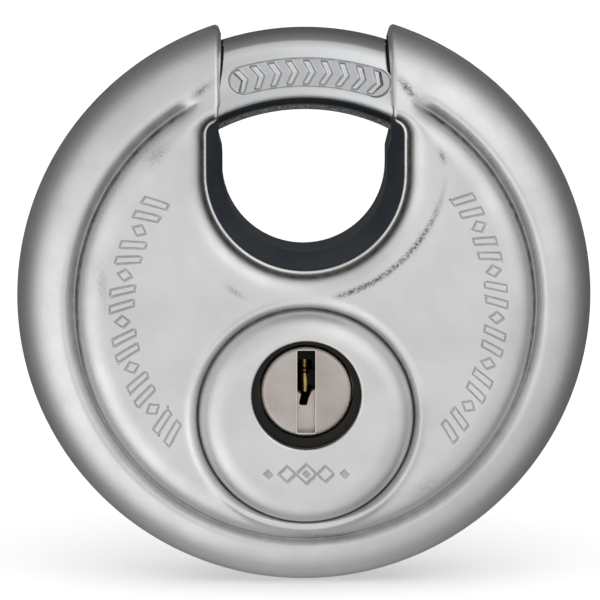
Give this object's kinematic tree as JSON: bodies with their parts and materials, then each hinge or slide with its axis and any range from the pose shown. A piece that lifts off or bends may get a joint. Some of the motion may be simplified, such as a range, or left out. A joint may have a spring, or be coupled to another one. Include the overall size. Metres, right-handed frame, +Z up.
{
  "type": "disc padlock",
  "caption": "Round disc padlock with two drawn steel shells, a recessed curved shackle across a lined notch, and a raised boss with a pin-tumbler plug.",
  "frame": {"origin": "centre of the exposed shackle bar, on the bar's centreline at the top of the lock", "axes": "+Z up from the disc's centre to the bar, -Y the front (key side), +X to the right as seen from the front; the disc's axis lies along Y, 28 mm below the origin"},
  "size_m": [0.07, 0.024, 0.0684],
  "materials": {
    "shell_steel": "satin, tumbled stainless steel",
    "shackle_chrome": "polished plate",
    "liner_plastic": "black, moulded",
    "core_casting": "die cast",
    "cylinder_brass": "machined",
    "plug_nickel": "nickel plated, machined",
    "pin_brass": "machined",
    "guard_black_steel": "black oxide",
    "steel_small_parts": "plain"
  },
  "bodies": {
    "lock_body": {"front_shell": "shell_steel", "rear_shell": "shell_steel", "front_core": "core_casting", "rear_core": "core_casting", "core_screws": "steel_small_parts", "notch_liner": "liner_plastic", "cylinder_body": "cylinder_brass", "drill_guard_ring": "guard_black_steel", "chamber_cover": "steel_small_parts", "pin_spring_1": "steel_small_parts", "pin_spring_2": "steel_small_parts", "pin_spring_3": "steel_small_parts", "pin_spring_4": "steel_small_parts", "pin_spring_5": "steel_small_parts"},
    "shackle": {"shackle": "shackle_chrome", "driver_fork": "steel_small_parts", "fork_rivets": "steel_small_parts"},
    "plug": {"plug": "plug_nickel", "drive_cam": "steel_small_parts", "drive_pin": "steel_small_parts", "retaining_clip": "steel_small_parts"},
    "key_pin_1": {"key_pin_1": "pin_brass"},
    "key_pin_2": {"key_pin_2": "pin_brass"},
    "key_pin_3": {"key_pin_3": "pin_brass"},
    "key_pin_4": {"key_pin_4": "pin_brass"},
    "key_pin_5": {"key_pin_5": "pin_brass"},
    "driver_pin_1": {"driver_pin_1": "steel_small_parts"},
    "driver_pin_2": {"driver_pin_2": "steel_small_parts"},
    "driver_pin_3": {"driver_pin_3": "steel_small_parts"},
    "driver_pin_4": {"driver_pin_4": "steel_small_parts"},
    "driver_pin_5": {"driver_pin_5": "steel_small_parts"}
  },
  "joints": [
    {"name": "shackle_turn", "type": "hinge", "parent": "lock_body", "child": "shackle", "pos_m": [0, 0, -0.028], "axis": [0, 1, 0], "range_deg": [0, 64.6]},
    {"name": "plug_turn", "type": "hinge", "parent": "lock_body", "child": "plug", "pos_m": [0, 0, -0.0379], "axis": [0, 1, 0], "range_deg": [0, 119]},
    {"name": "key_pin_1_lift", "type": "slide", "parent": "plug", "child": "key_pin_1", "axis": [0, 0, 1], "range_m": [0, 0.00335]},
    {"name": "key_pin_2_lift", "type": "slide", "parent": "plug", "child": "key_pin_2", "axis": [0, 0, 1], "range_m": [0, 0.00215]},
    {"name": "key_pin_3_lift", "type": "slide", "parent": "plug", "child": "key_pin_3", "axis": [0, 0, 1], "range_m": [0, 0.00275]},
    {"name": "key_pin_4_lift", "type": "slide", "parent": "plug", "child": "key_pin_4", "axis": [0, 0, 1], "range_m": [0, 0.00135]},
    {"name": "key_pin_5_lift", "type": "slide", "parent": "plug", "child": "key_pin_5", "axis": [0, 0, 1], "range_m": [0, 0.00255]},
    {"name": "driver_pin_1_lift", "type": "slide", "parent": "lock_body", "child": "driver_pin_1", "axis": [0, 0, 1], "range_m": [0, 0.0008], "stiffness_N_per_m": 250, "springref_m": -0.0005, "deforming": ["pin_spring_1"]},
    {"name": "driver_pin_2_lift", "type": "slide", "parent": "lock_body", "child": "driver_pin_2", "axis": [0, 0, 1], "range_m": [0, 0.0008], "stiffness_N_per_m": 250, "springref_m": -0.0005, "deforming": ["pin_spring_2"]},
    {"name": "driver_pin_3_lift", "type": "slide", "parent": "lock_body", "child": "driver_pin_3", "axis": [0, 0, 1], "range_m": [0, 0.0008], "stiffness_N_per_m": 250, "springref_m": -0.0005, "deforming": ["pin_spring_3"]},
    {"name": "driver_pin_4_lift", "type": "slide", "parent": "lock_body", "child": "driver_pin_4", "axis": [0, 0, 1], "range_m": [0, 0.0008], "stiffness_N_per_m": 250, "springref_m": -0.0005, "deforming": ["pin_spring_4"]},
    {"name": "driver_pin_5_lift", "type": "slide", "parent": "lock_body", "child": "driver_pin_5", "axis": [0, 0, 1], "range_m": [0, 0.0008], "stiffness_N_per_m": 250, "springref_m": -0.0005, "deforming": ["pin_spring_5"]}
  ],
  "couplings": [
    {"joint": "plug_turn", "follows": "shackle_turn", "ratio": 1.839}
  ]
}
